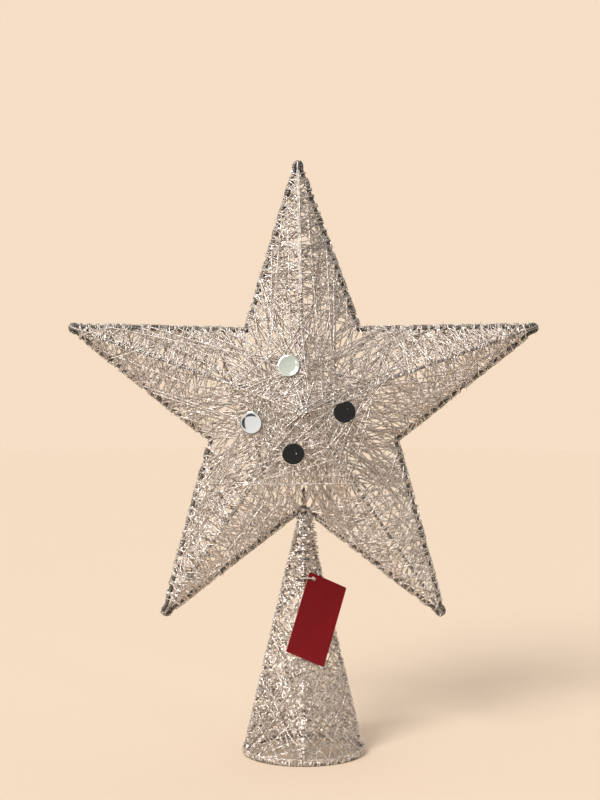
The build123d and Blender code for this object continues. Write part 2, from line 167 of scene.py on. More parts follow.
class TopperFinish(bpy.types.PropertyGroup):
    """Colours of the finishes."""

    yarn_light: a_colour("Yarn, bright", "Bright facets of the yarn", (0.97, 0.9, 0.847))
    yarn_dark: a_colour("Yarn, dull", "Dull facets of the yarn", (0.68, 0.622, 0.582))
    # Painted shade: the yarn on the cone is the same yarn as on the star, given darker dull facets that stand
    # in for the cone's shade and the shadowed gaps between its strands
    cone_light: a_colour("Cone yarn, bright", "Bright facets of the yarn on the cone", (0.97, 0.9, 0.847))
    cone_dark: a_colour("Cone yarn, dull", "Dull facets of the yarn on the cone", (0.52, 0.475, 0.442))
    # Painted shade: the yarn wrapped round the edges is the same yarn as on the faces, given much darker tones
    # that stand in for the shade of the wraps seen edge-on and draw the dark outlines
    edge_light: a_colour(
        "Edge yarn, bright", "Bright facets of the yarn wrapped round the edges", (0.62, 0.56, 0.51))
    edge_dark: a_colour(
        "Edge yarn, dull", "Dull facets of the yarn wrapped round the edges", (0.1, 0.088, 0.078))
    wire: a_colour("Wire", "Silver paint of the wires", (0.3, 0.28, 0.265))
    ridge_wire: a_colour("Ridge wire", "Silver paint of the ridge wires", (0.5, 0.465, 0.44))
    mirror: a_colour("Sequins", "Mirror film of the sequins", (0.9, 0.91, 0.89))
    card: a_colour("Tag", "Face of the hang tag", (0.185, 0.005, 0.009))
    card_core: a_colour("Tag core", "Cut edges of the hang tag", (0.42, 0.16, 0.15))
    nylon: a_colour("Loop", "Thread of the tag's loop", (0.8, 0.76, 0.68))
    floor: a_colour("Floor", "Floor", (0.88, 0.73, 0.58))
    backdrop: a_colour("Backdrop", "Backdrop behind the floor", (0.92, 0.735, 0.56))


def shape():
    return bpy.context.scene.topper_shape


def yarn():
    return bpy.context.scene.topper_yarn


def finish():
    return bpy.context.scene.topper_finish


# Star geometry on its face: complex numbers from the middle of the star, and a depth towards the front


def arm_angles():
    """Angles of the arms, anticlockwise from the right one."""
    s = shape()
    return (s.side_angle, s.top_angle, 180 - s.side_angle, 180 - s.lower_angle, 360 + s.lower_angle)


def notch_angle(place):
    """Angle of the notch that follows an arm."""
    angles = arm_angles()
    after = angles[(place + 1) % len(angles)] + (360 if place % len(angles) == len(angles) - 1 else 0)
    return (angles[place % len(angles)] + after) / 2


def on_face(radius, angle):
    return cmath.rect(radius, math.radians(angle))


def in_space(place, depth):
    """Point in space of a place on the star's face."""
    return Vector((place.real, -depth, shape().centre_height + place.imag))


def ridge_depth(reach):
    """Depth of a ridge wire's axis at a distance from the middle."""
    s = shape()
    return s.half_depth + (s.crown_depth - s.half_depth) * reach / s.crown_radius


def arm_edge(place, side):
    """Notch end and point end of an arm's edge, the clockwise edge for side 0."""
    s = shape()
    notch = notch_angle(place if side else place - 1)
    return on_face(s.notch_radius, notch), on_face(s.point_radius, arm_angles()[place])


def edge_spot(place, side, distance):
    """Place on an arm's edge at a distance from the notch, and the way out of the star there."""
    notch, point = arm_edge(place, side)
    run = (point - notch) / abs(point - notch)
    out = run * (1j if side else -1j)
    return notch + run * distance, out


def tip_spot(place, along):
    """Place on the bend at an arm's tip, from its clockwise side on, and the way out of the bend there."""
    s = shape()
    ahead = on_face(1.0, arm_angles()[place])
    aside = ahead * -1j
    middle = ahead * (s.crown_radius - s.tip_half_width)
    round_bend = math.pi * s.tip_half_width
    if along < s.tip_length:
        return middle + aside * s.tip_half_width - ahead * (s.tip_length - along), aside
    if along < s.tip_length + round_bend:
        out = aside * cmath.rect(1.0, (along - s.tip_length) / s.tip_half_width)
        return middle + out * s.tip_half_width, out
    return middle - aside * s.tip_half_width - ahead * (along - s.tip_length - round_bend), -aside


def round_edge(middle, out, reach, turn):
    """Point beside an edge wire, turned from the way out of the star towards the front."""
    turn = math.radians(turn)
    return in_space(middle + out * reach * math.cos(turn), reach * math.sin(turn))


def ridge_crossings(start, end):
    """Share of a straight run and distance from the middle where it crosses each ridge."""
    run = end - start
    crossings = []
    for angle in arm_angles():
        ridge = on_face(1.0, angle)
        cross = (run * ridge.conjugate()).imag
        if abs(cross) < PARALLEL:
            continue
        share = -(start * ridge.conjugate()).imag / cross
        reach = ((start + run * share) * ridge.conjugate()).real
        if 0 < share < 1 and 0 < reach < shape().crown_radius:
            crossings.append((share, reach))
    return crossings


def edge_meets(edges, base, along):
    """Where a straight line meets the edges: its own distance, the edge and the distance from the notch."""
    meets = []
    for edge, (notch, point) in edges.items():
        run = point - notch
        cross = (along.conjugate() * run).imag
        if abs(cross) < PARALLEL:
            continue
        share = ((notch - base).conjugate() * along).imag / cross
        if 0 <= share < 1:
            spot = notch + run * share
            meets.append((((spot - base) * along.conjugate()).real, edge, share * abs(run)))
    return sorted(meets)


def spans_well(places, from_notch, rng):
    """Whether a run from arm to arm keeps near enough to the middle, thinned where runs fan out."""
    crossings = [reach for _, reach in ridge_crossings(*places)]
    by_notch = len(crossings) == 1 and from_notch < BY_NOTCH
    if max(crossings, default=0.0) > shape().span_radius * (WIDEST_BY_NOTCH if by_notch else WIDEST):
        return False
    return not (len(crossings) > 1 and from_notch < FAN_REACH and rng.random() < FAN_THINNING)


def star_runs(rng, length, reach):
    """Straight runs of yarn from edge to edge, spread evenly in every direction round the middle."""
    edges = {(place, side): arm_edge(place, side) for place in range(len(ARMS)) for side in (0, 1)}
    runs = []
    turn, offset = rng.random(), rng.random()
    while length > 0:
        turn, offset = (turn + TURN_STEP) % 1, (offset + OFFSET_STEP) % 1
        along = cmath.rect(1.0, math.pi * turn)
        base = along * 1j * (reach * (2 * offset - 1) + rng.gauss(0, RUN_SCATTER))
        meets = edge_meets(edges, base, along)
        for start, end in zip(meets[::2], meets[1::2]):
            if reach < shape().notch_radius and not start[0] < 0 < end[0]:
                continue
            if start[1][0] != end[1][0]:
                places = [base + along * meet[0] for meet in (start, end)]
                if not spans_well(places, min(start[2], end[2]), rng):
                    continue
            notch, point = edges[start[1]]
            run = end[0] - start[0]
            if run > SHORTEST_RUN and max(start[2], end[2]) < abs(notch - point) - BARE_TIP:
                runs.append((start[1:], end[1:]))
                length -= run
    return runs


def run_arms(run):
    """Arms at the two ends of a run."""
    return [edge[0] for edge, _ in run]


def bunched(distance, rng):
    """Distance along an edge, drawn towards the nearest bead of yarn."""
    bead = yarn().bead_pitch
    nearest = round(distance / bead) * bead
    return max(nearest + (distance - nearest) * BUNCHING + rng.gauss(0, BUNCH_SCATTER), FIRST_BUNCH)


def chained(fronts, backs):
    """Lengths of yarn: runs on front and back by turns, each from the edge where the last one ends."""
    lists = [list(fronts), list(backs)]
    lengths, spots, face = [], [], 0
    while lists[face]:
        if not spots:
            start, end = lists[face].pop()
            spots = [(face, start), (face, end)]
        else:
            edge, distance = spots[-1][1]
            near = [(abs(run[first][1] - distance), index, first) for index, run in enumerate(lists[face])
                    for first in (0, 1) if run[first][0] == edge]
            step, index, first = min(near, default=(math.inf, 0, 0))
            if step > LONGEST_STEP:
                lengths.append(spots)
                spots = []
                continue
            run = lists[face].pop(index)
            spots += [(face, run[first]), (face, run[1 - first])]
        face = 1 - face
    return lengths + [spots] if spots else lengths


def draped(start, end, lift):
    """Places and depths where taut yarn from edge to edge rests on the ridge wires and the apex bead."""
    s = shape()
    run = end - start
    rests = [(0.0, s.edge_radius + lift), (1.0, s.edge_radius + lift)]
    for share, reach in ridge_crossings(start, end):
        rests.append((share, ridge_depth(reach) + s.ridge_radius + lift))
    nearest = -(start * run.conjugate()).real / abs(run) ** 2
    miss = abs(start + run * nearest)
    if 0 < nearest < 1 and miss < s.bead_radius + lift:
        rests.append((nearest, s.half_depth + math.sqrt((s.bead_radius + lift) ** 2 - miss ** 2)))
    hull = []
    for rest in sorted(rests):
        while len(hull) > 1 and (hull[-1][0] - hull[-2][0]) * (rest[1] - hull[-2][1]) >= (
                rest[0] - hull[-2][0]) * (hull[-1][1] - hull[-2][1]):
            hull.pop()
        hull.append(rest)
    return [(start + run * share, depth) for share, depth in hull]


def wound_star(spots, rng):
    """Path of one length of yarn over its runs, turning round the edge wires between them."""
    points = []
    for (face, (edge, distance)), (_, (other, far)) in zip(spots[::2], spots[1::2]):
        way = 1 if face == 0 else -1
        start, out = edge_spot(*edge, bunched(distance, rng))
        end, out_there = edge_spot(*other, bunched(far, rng))
        lift = yarn().radius * rng.uniform(*STAR_LAYERS)
        reach = shape().edge_radius + lift
        points += [round_edge(start, out, reach, way * turn) for turn in EDGE_TURNS]
        rests = [in_space(place, way * depth) for place, depth in draped(start, end, lift)][1:-1]
        for rest in rests + [in_space(end, way * reach)]:
            points += divided(points[-1], rest, rng)
        points += [round_edge(end, out_there, reach, way * turn) for turn in EDGE_TURNS[1::-1]]
    return points


def divided(start, end, rng):
    """Points of a taut run after its start, a little uneven."""
    y = yarn()
    count = max(1, round((end - start).length / y.step))
    stray = y.radius * RUN_STRAY
    points = []
    for index in range(1, count):
        point = start.lerp(end, index / count)
        points.append(point + Vector([rng.uniform(-stray, stray) for _ in range(3)]))
    return points + [end]


# Cone geometry


def leg_radius(height):
    """Distance of the leg axes from the middle of the cone."""
    s = shape()
    share = min((height - s.ring_height) / (s.neck_height - s.ring_height), 1.0)
    return s.ring_radius + (s.neck_radius - s.ring_radius) * share


def around(angle):
    """Level way out from the middle of the cone, for an angle in degrees."""
    return Vector((math.cos(math.radians(angle)), math.sin(math.radians(angle)), 0))


def leg_axis(leg, height):
    return around(LEG_TURNS[leg % 4]) * leg_radius(height) + UP * height


# Finishes


def add_node(tree, kind, inputs=None, **settings):
    """New shader node. Each input is given a value, or another node's output that it follows."""
    node = tree.nodes.new(f"ShaderNode{kind}")
    for name, value in settings.items():
        setattr(node, name, value)
    for name, value in (inputs or {}).items():
        if isinstance(value, bpy.types.NodeSocket):
            tree.links.new(value, node.inputs[name])
        else:
            node.inputs[name].default_value = value
    return node


def cleared(owner):
    """Empty node tree of a material or a world."""
    owner.use_nodes = True
    owner.node_tree.nodes.clear()
    return owner.node_tree


def coat(tree, inputs):
    """Shader of a material, as its surface."""
    shader = add_node(tree, "BsdfPrincipled", inputs)
    add_node(tree, "OutputMaterial", {"Surface": shader.outputs["BSDF"]})


def noise(tree, scale, detail=2.0):
    """Noise that is fixed to the piece."""
    place = add_node(tree, "TexCoord").outputs["Object"]
    return add_node(tree, "TexNoise", {"Vector": place, "Scale": scale, "Detail": detail}).outputs["Fac"]


def mottled(tree, colour, scale, darkest, lightest):
    """Colour that wanders between a darker and a lighter tone of it."""
    dark, light = ((*[channel * tone for channel in colour], 1) for tone in (darkest, lightest))
    tones = add_node(tree, "Mix", {"Factor": noise(tree, scale), "A": dark, "B": light}, data_type="RGBA")
    return tones.outputs["Result"]


def glitter_group():
    """Node group of metallic facets: a colour, a roughness and a normal that change from facet to facet."""
    group = bpy.data.node_groups.get("glitter_facets")
    if group:
        return group
    group = bpy.data.node_groups.new("glitter_facets", "ShaderNodeTree")
    takes = {"Scale": "Float", "Bright": "Color", "Dull": "Color", "Tilt": "Float", "Smooth": "Float",
             "Rough": "Float"}
    makes = {"Colour": "Color", "Roughness": "Float", "Normal": "Vector"}
    for way, sockets in (("INPUT", takes), ("OUTPUT", makes)):
        for name, kind in sockets.items():
            group.interface.new_socket(name=name, in_out=way, socket_type=f"NodeSocket{kind}")
    given = group.nodes.new("NodeGroupInput").outputs
    place = add_node(group, "TexCoord").outputs["Object"]
    cells = add_node(group, "TexVoronoi", {"Vector": place, "Scale": given["Scale"]}).outputs["Color"]
    parts = add_node(group, "SeparateColor", {"Color": cells}).outputs
    patches = noise(group, PATCH_SCALE, PATCH_DETAIL)
    sway = add_node(
        group, "Math", {0: patches, 1: PATCH_SWAY, 2: -PATCH_SWAY / 2}, operation="MULTIPLY_ADD")
    share = add_node(
        group, "Math", {0: parts["Red"], 1: sway.outputs["Value"]}, operation="ADD", use_clamp=True)
    sharp = add_node(
        group, "MapRange", {"Value": share.outputs["Value"], "From Min": BRIGHT_FROM, "From Max": BRIGHT_TO},
        interpolation_type="SMOOTHSTEP").outputs["Result"]
    colour = add_node(
        group, "Mix", {"Factor": sharp, "A": given["Dull"], "B": given["Bright"]}, data_type="RGBA")
    rough = add_node(
        group, "MapRange", {"Value": parts["Green"], "To Min": given["Smooth"], "To Max": given["Rough"]})
    surface = add_node(group, "NewGeometry").outputs["Normal"]
    normal = add_node(group, "VectorMath", {0: cells, 1: (0.5, 0.5, 0.5)}, operation="SUBTRACT")
    for operation, inputs in (("SCALE", {"Scale": given["Tilt"]}), ("ADD", {1: surface}), ("NORMALIZE", {})):
        inputs = {0: normal.outputs["Vector"], **inputs}
        normal = add_node(group, "VectorMath", inputs, operation=operation)
    made = group.nodes.new("NodeGroupOutput").inputs
    group.links.new(colour.outputs["Result"], made["Colour"])
    group.links.new(rough.outputs["Result"], made["Roughness"])
    group.links.new(normal.outputs["Vector"], made["Normal"])
    return group


def glitter_material(name, bright, dull, scale, tilt, metallic, smooth, rough):
    """Metallic finish made of small facets."""
    material = bpy.data.materials.get(name)
    if material:
        return material
    material = bpy.data.materials.new(name)
    tree = cleared(material)
    facets = add_node(tree, "Group", {
        "Scale": scale, "Bright": (*bright, 1), "Dull": (*dull, 1), "Tilt": tilt, "Smooth": smooth,
        "Rough": rough}, node_tree=glitter_group()).outputs
    coat(tree, {
        "Base Color": facets["Colour"], "Metallic": metallic, "Roughness": facets["Roughness"],
        "Normal": facets["Normal"]})
    return material


def yarn_material(name):
    colours, *facets = YARN_FINISHES[name]
    bright, dull = (getattr(finish(), f"{colours}_{tone}") for tone in ("light", "dark"))
    return glitter_material(name, bright, dull, YARN_FACETS, *facets)


def wire_material(name, colour):
    dull = [channel * WIRE_DULLING for channel in colour]
    return glitter_material(name, colour, dull, WIRE_FACETS, *WIRE_FINISH)


# Making pieces


def deselect():
    if bpy.context.mode != "OBJECT":
        bpy.ops.object.mode_set(mode="OBJECT")
    bpy.ops.object.select_all(action="DESELECT")


def paint(piece, material):
    """Gives a piece one finish all over."""
    piece.data.materials.clear()
    piece.data.materials.append(material)


def settle(piece, body, material, nodes=()):
    """Gives a finished piece its finish, the body it rides on and the nodes it stands for."""
    paint(piece, material)
    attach(piece, body)
    if nodes:
        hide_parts(*nodes)


def loose_fibres(path, rng, spacing, reach):
    """Short ends of tinsel that stand off a length of yarn."""
    fibres = []
    along = rng.uniform(0, spacing)
    for start, end in zip(path, path[1:]):
        run = (end - start).length
        while along < run:
            root = start.lerp(end, along / run)
            way = Vector([rng.gauss(0, 1) for _ in range(3)]).normalized()
            fibres.append((root, root + way * reach * rng.uniform(*FIBRE_LENGTHS)))
            along += spacing * rng.uniform(*FIBRE_SPACINGS)
        along -= run
    return fibres


def yarn_piece(name, paths, rng, material, nodes=(), thickness=1.0, fuzz=1.0):
    """Mesh piece of lengths of yarn, uneven in thickness, with loose fibres of tinsel."""
    deselect()
    y = yarn()
    curve = bpy.data.curves.new(name, "CURVE")
    curve.dimensions = "3D"
    curve.bevel_depth = y.radius * thickness
    curve.bevel_resolution = 1
    curve.use_fill_caps = True
    lengths = [(path, YARN_WIDTHS) for path in paths]
    for path in paths:
        fibres = loose_fibres(path, rng, y.fibre_spacing, y.fibre_length * fuzz)
        lengths += [(fibre, FIBRE_WIDTHS) for fibre in fibres]
    for path, widths in lengths:
        spline = curve.splines.new("POLY")
        spline.points.add(len(path) - 1)
        for point, place in zip(spline.points, path):
            point.co = (*place, 1.0)
            point.radius = rng.uniform(*widths)
    piece = bpy.data.objects.new(name, curve)
    bpy.context.scene.collection.objects.link(piece)
    bpy.context.view_layer.objects.active = piece
    piece.select_set(True)
    bpy.ops.object.convert(target="MESH")
    bpy.ops.object.shade_smooth()
    piece = bpy.context.view_layer.objects.active
    settle(piece, "topper", yarn_material(material), nodes)


class TOPPER_OT_star_yarn(bpy.types.Operator):
    """Wind yarn over the star: round each arm, and across the middle from arm to arm"""

    bl_idname = "topper.star_yarn"
    bl_label = "Wind the star"
    # Length of a run across the middle, for each length of it within the middle
    overrun = 1.6

    def face_runs(self, rng):
        """Runs on one face of the star, with further ones across the middle."""
        y, s = yarn(), shape()
        outline = []
        for place, angle in enumerate(arm_angles()):
            outline += [on_face(s.point_radius, angle), on_face(s.notch_radius, notch_angle(place))]
        corners = zip([outline[-1], *outline], outline)
        area = sum((last.conjugate() * corner).imag for last, corner in corners) / 2
        middle = math.pi * y.middle_radius ** 2 * y.middle_cover / (2 * y.radius)
        runs = star_runs(rng, y.arm_cover * area / (2 * y.radius), s.point_radius)
        return runs + star_runs(rng, middle * self.overrun, y.middle_radius)

    def execute(self, context):
        rng = random.Random(yarn().seed)
        faces = [self.face_runs(rng) for _ in range(2)]
        for place, arm in enumerate(ARMS):
            own = [[run for run in runs if run_arms(run) == [place, place]] for runs in faces]
            paths = [wound_star(spots, rng) for spots in chained(*own)]
            yarn_piece(f"arm_yarn_{arm}", paths, rng, "star_yarn", (f"front_net_{arm}", f"back_net_{arm}"))
        lengths = chained(*[[run for run in runs if len(set(run_arms(run))) == 2] for runs in faces])
        for part, arm in enumerate(ARMS):
            paths = [wound_star(spots, rng) for spots in lengths[part::len(ARMS)]]
            after = ARMS[(part + 1) % len(ARMS)]
            nodes = (f"front_span_{arm}_to_{after}", f"back_span_{arm}_to_{after}")
            yarn_piece(f"span_yarn_{part + 1}", paths, rng, "star_yarn", nodes)
        return {"FINISHED"}


class TOPPER_OT_edge_yarn(bpy.types.Operator):
    """Wrap yarn round the wires of the star and the cone, bunched into beads"""

    bl_idname = "topper.edge_yarn"
    bl_label = "Wrap the edges"
    arm_seed, wire_seed = 20, 30
    # A wrap: pitch and points of a turn, draw towards a bead, slack and unevenness in yarn radii
    turn_pitch, turn_points, gathering, slack, uneven = 0.0014, 7, 0.82, 0.1, 0.2
    # How much the beads bulge, in yarn radii
    wire_bulge, edge_bulge, tip_bulge, ring_bulge = 0.7, 0.35, 0.3, 0.4
    # Ends of an edge's wrap, from the notch and from the point
    notch_bare, tip_bare = 0.001, 0.0105
    # Base ring: lift and oval of its wrap, and the floor under it in yarn radii
    ring_lift, ring_oval, ring_floor = 1.8, 1.4, 1.5
    # Strands round the ring: their number, waves, points, distance and height, and how far they sway
    strands, strand_waves, strand_points = 7, (9, 17), 240
    strand_out, sway_out, strand_height, sway_up, strand_stray = 0.0009, 0.0007, 0.0028, 0.0016, 0.0002
    # Wrapped parts of a leg, below and above the tag's loop
    leg_wraps = ((0.003, 0.108), (0.1165, 0.146))
    # Strands along the top arm's ridges, a painted highlight of the light line that ridge catches: places
    # across, lift in yarn radii, and ends as shares of the wire
    crest_places, crest_lift, crest_ends = (-0.0006, 0.0, 0.0006), 2.2, (0.46, 0.96)

    def wrapped(self, length, spot, radius, rng, bulge=wire_bulge):
        """Helix along a wire, its turns drawn together and bulging at every bead."""
        y = yarn()
        count = int(length / self.turn_pitch) * self.turn_points
        points = []
        for index in range(count + 1):
            along = length * index / count
            bead = 2 * math.pi * along / y.bead_pitch
            along -= y.bead_pitch / (2 * math.pi) * self.gathering * math.sin(bead)
            stray = rng.uniform(-self.uneven, self.uneven)
            swell = radius + y.radius * (self.slack + bulge + bulge * math.cos(bead) + stray)
            turn = 2 * math.pi * index / self.turn_points
            middle, across, up = spot(min(max(along, 0.0), length))
            points.append(middle + (across * math.cos(turn) + up * math.sin(turn)) * swell)
        return points

    def arm(self, place, rng):
        """Wraps along the two edges of an arm and round its tip."""
        s = shape()

        def on_wire(middle, out):
            return in_space(middle, 0), Vector((out.real, 0, out.imag)), FRONT

        notch, point = arm_edge(place, 0)
        length = abs(point - notch) - self.tip_bare
        paths = []
        for side in (0, 1):
            paths.append(self.wrapped(
                length, lambda along: on_wire(*edge_spot(place, side, along + self.notch_bare)),
                s.edge_radius, rng, self.edge_bulge))
        round_tip = 2 * s.tip_length + math.pi * s.tip_half_width
        paths.append(self.wrapped(
            round_tip, lambda along: on_wire(*tip_spot(place, along)), s.edge_radius, rng, self.tip_bulge))
        return paths

    def ring(self, rng):
        """Wrap round the base ring, kept off the floor, and strands that wave along it."""
        s = shape()

        def spot(along):
            angle = along / s.ring_radius
            out = Vector((math.cos(angle), math.sin(angle), 0))
            return out * s.ring_radius + UP * (s.ring_height * self.ring_lift), out, UP * self.ring_oval

        path = self.wrapped(2 * math.pi * s.ring_radius, spot, s.edge_radius, rng, self.ring_bulge)
        floor = yarn().radius * self.ring_floor
        paths = [[Vector((point.x, point.y, max(point.z, floor))) for point in path]]
        for _ in range(self.strands):
            start, waves = rng.uniform(0, 360), rng.randint(*self.strand_waves)
            strand = []
            for index in range(self.strand_points + 1):
                turn = index * 360 / self.strand_points
                sway = math.sin(math.radians(waves * turn + start))
                out = around(start + turn) * (s.ring_radius + self.strand_out + self.sway_out * sway)
                height = self.strand_height + self.sway_up * sway + rng.gauss(0, self.strand_stray)
                strand.append(out + UP * height)
            paths.append(strand)
        return paths

    def legs(self, rng):
        """Wraps round the legs, apart from where the tag's loop goes round, and round the neck's stems."""
        s = shape()
        paths = []
        for leg, turn in enumerate(LEG_TURNS):
            out = around(turn)
            aside = Vector((-out.y, out.x, 0))
            for low, high in self.leg_wraps:
                paths.append(self.wrapped(
                    high - low, lambda along: (leg_axis(leg, low + along), out, aside), s.leg_wire, rng))
        for way in (-1, 1):
            out = Vector((0, way, 0))
            aside = Vector((1, 0, 0))
            paths.append(self.wrapped(
                s.stem_length,
                lambda along: (out * s.neck_radius + UP * (s.neck_height + along), out, aside),
                s.leg_wire, rng))
        return paths

    def ridges(self, rng):
        """Wraps along the ridge wires from the apexes on, and strands further out on the top arm's ridges."""
        s = shape()
        wraps, crests = [], []
        for arm, angle in zip(ARMS, arm_angles()):
            for way in (1, -1):
                apex = in_space(0, way * s.half_depth)
                run = in_space(on_face(s.crown_radius, angle), way * s.crown_depth) - apex
                ahead = run.normalized()
                across = ahead.cross(-FRONT).normalized()
                up = across.cross(ahead)
                wraps.append(self.wrapped(
                    run.length * s.ridge_wrap,
                    lambda along: (apex + ahead * (s.bead_radius + along), across, up), s.ridge_radius, rng))
                # Painted highlight: only the top arm's ridges get these strands, in a less metallic copy of
                # the yarn, to show the light line that this ridge catches
                if arm == "top":
                    lift = s.ridge_radius + yarn().radius * self.crest_lift
                    for place in self.crest_places:
                        aside = across * place - up * way * lift
                        ends = [apex + run * share + aside for share in self.crest_ends]
                        crests.append([ends[0], *divided(*ends, rng)])
        return wraps, crests

    def execute(self, context):
        seed = yarn().seed
        for place, arm in enumerate(ARMS):
            rng = random.Random(seed + self.arm_seed + place)
            paths = self.arm(place, rng)
            # The arms' wraps take the darker edge finish, painted shade for the outlines
            yarn_piece(f"edge_yarn_{arm}", paths, rng, "edge_yarn", thickness=0.75, fuzz=0.7)
        rng = random.Random(seed + self.wire_seed)
        # The ring and the legs take the cone's darker finish, painted shade
        yarn_piece("ring_yarn", self.ring(rng), rng, "cone_yarn", thickness=0.85, fuzz=0.5)
        yarn_piece("leg_yarn", self.legs(rng), rng, "cone_yarn", thickness=0.9, fuzz=0.2)
        wraps, crests = self.ridges(rng)
        yarn_piece("ridge_yarn", wraps, rng, "star_yarn", thickness=0.9, fuzz=0.5)
        # Painted highlight along the top arm's ridges
        yarn_piece("top_ridge_highlight_yarn", crests, rng, "crest_highlight_yarn", fuzz=0.4)
        return {"FINISHED"}


class TOPPER_OT_cone_yarn(bpy.types.Operator):
    """Wind yarn over the sides of the cone, from leg to leg and down to the base ring, and round the neck"""

    bl_idname = "topper.cone_yarn"
    bl_label = "Wind the cone"
    cone_seed = 100
    # Room for the tag: its loop on the front leg, and where the top of the lifted card swings in
    loop_height, loop_room, neck_gap = 0.112, 0.0022, (0.1092, 0.1182)
    tag_low, tag_high, tag_reach, tag_samples = 0.1132, 0.1182, 0.0085, 24
    # Turns round a leg at the end of a run: as a rule, from behind the leg, and cut short beside the tag
    tuck, tuck_behind, tuck_short = (0, 45, 90, 135, 170), (180, 140, 100), (0, 30, 60)
    # Runs on the sides: greatest height, taper, steepest slant, layers in yarn radii, and the height below
    # which they go down to the ring
    top, taper, steepest, side_layers, ring_catch = 0.152, 0.995, 62, (1.0, 2.4), 0.004
    # Fewer runs start at the foot
    foot_height, foot_thinning = 0.016, 0.4
    # Round the ring: width of the turn under it, and its height in yarn radii
    ring_turn, ring_floor = 0.6, 1.3
    # Level runs beside the loop: their number, and how far they and their ends are spread
    rung_count, rung_spread, rung_slant = 14, 0.006, 0.003
    # Neck: heights, sweeps up and down, unevenness, distance from the gap, layers and turns round a leg
    neck_low, neck_high, neck_sweeps, neck_stray = 0.096, 0.153, 5, 0.003
    gap_stray, neck_layers, neck_turns = 0.006, (1.0, 1.6), (-40, 0, 40)
    # Swelling of the neck below the star: how much, from where to where, and how it varies
    swell, swell_start, swell_full, swell_shares = 0.0014, 0.122, 0.142, (0.85, 1.0)
    # Ties to the star: their number, layer, distances from the notch, turns, and heights on the neck
    ties, tie_layer, tie_spots, tie_turns = 22, 1.6, (0.001, 0.009), (80, 40, 0, -40, -80)
    tie_heights, tie_room, tie_slant = (0.136, 0.148), 2.5, 0.7

    def half_width(self, height):
        """Half the width of a side of the cone."""
        return leg_radius(height) / math.sqrt(2)

    def clear(self, leg, height):
        """Height on a leg, moved off the tag's loop on the front one."""
        if leg % 4 == 0 and abs(height - self.loop_height) < self.loop_room:
            return self.loop_height + math.copysign(self.loop_room, height - self.loop_height)
        return height

    def under_tag(self, ends):
        """Whether a run on the front right side passes where the top of the lifted tag swings in."""
        for part in range(self.tag_samples + 1):
            spot = ends[0] + (ends[1] - ends[0]) * part / self.tag_samples
            from_leg = spot.real + self.half_width(spot.imag)
            if self.tag_low < spot.imag < self.tag_high and from_leg < self.tag_reach:
                return True
        return False

    def end_points(self, quarter, side, across, height, lift, turns=tuck):
        """Points from where a run leaves a side of the cone to where its end is tucked in."""
        s, y = shape(), yarn()
        if height > s.ring_height:
            leg = quarter + side
            height = self.clear(leg, height)
            if leg == 4 and self.tag_low < height < self.tag_high:
                turns = self.tuck_short
            axis = leg_axis(leg, height)
            middle = LEG_TURNS[quarter % 4] + 45
            return [axis + around(middle + (turn if side else -turn)) * lift for turn in turns]
        out = around(LEG_TURNS[quarter % 4] + 90 * across)
        foot = out * s.ring_radius + UP * s.ring_height
        reach = out * (s.edge_radius + y.radius)
        under = UP * (y.radius * self.ring_floor - s.ring_height)
        turn = reach * self.ring_turn
        return [foot + reach, foot + turn + under, foot - turn + under, foot - reach]

    def tucked(self, quarter, shares, heights, lift, rng, turns=tuck):
        """Path of one run across a side of the cone, with both its ends tucked in."""
        first = self.end_points(quarter, 0, shares[0], heights[0], lift, turns)
        last = self.end_points(quarter, 1, shares[1], heights[1], lift)
        return first[::-1] + divided(first[0], last[0], rng) + last[1:]

    def layer(self, layers, rng):
        """Distance of a layer of yarn from a leg's axis."""
        return shape().leg_wire + yarn().radius * rng.uniform(*layers)

    def runs(self, quarter, rng):
        """Runs of yarn across one side of the cone, slanting every way."""
        s, y = shape(), yarn()
        slope = (s.ring_radius - s.neck_radius) / (s.neck_height - s.ring_height) / math.sqrt(2)
        widths = self.half_width(s.ring_height) + self.half_width(self.top)
        length = y.cone_cover * widths * self.top / (2 * y.radius)
        paths = []
        while length > 0:
            height = self.top * (1 - math.sqrt(1 - self.taper * rng.random()))
            half = self.half_width(height)
            across = rng.uniform(-1, 1) * half
            turn = math.radians(rng.uniform(-self.steepest, self.steepest))
            step = complex(math.cos(turn), math.sin(turn))
            start = complex(across, height)
            ends = [start + step * (way * half - across) / (step.real + way * slope * step.imag)
                    for way in (-1, 1)]
            if max(end.imag for end in ends) > self.top:
                continue
            if height < self.foot_height and rng.random() < self.foot_thinning:
                continue
            shares = [0.0, 1.0]
            for index, end in enumerate(ends):
                if end.imag < self.ring_catch:
                    foot = start - step * (height - s.ring_height) / step.imag
                    shares[index] = (foot.real / self.half_width(s.ring_height) + 1) / 2
                    ends[index] = complex(foot.real, s.ring_height)
            lift = self.layer(self.side_layers, rng)
            turns = self.tuck_behind if quarter == 0 and self.under_tag(ends) else self.tuck
            paths.append(self.tucked(quarter, shares, [end.imag for end in ends], lift, rng, turns))
            length -= abs(ends[1] - ends[0])
        return paths

    def rungs(self, quarter, rng):
        """Level runs beside the tag's loop, closing the gap that it leaves."""
        paths = []
        for _ in range(self.rung_count):
            height = self.loop_height + rng.uniform(-self.rung_spread, self.rung_spread)
            lift = self.layer(self.side_layers, rng)
            heights = height, height + rng.uniform(-self.rung_slant, self.rung_slant)
            paths.append(self.tucked(quarter, (0.0, 1.0), heights, lift, rng))
        return paths

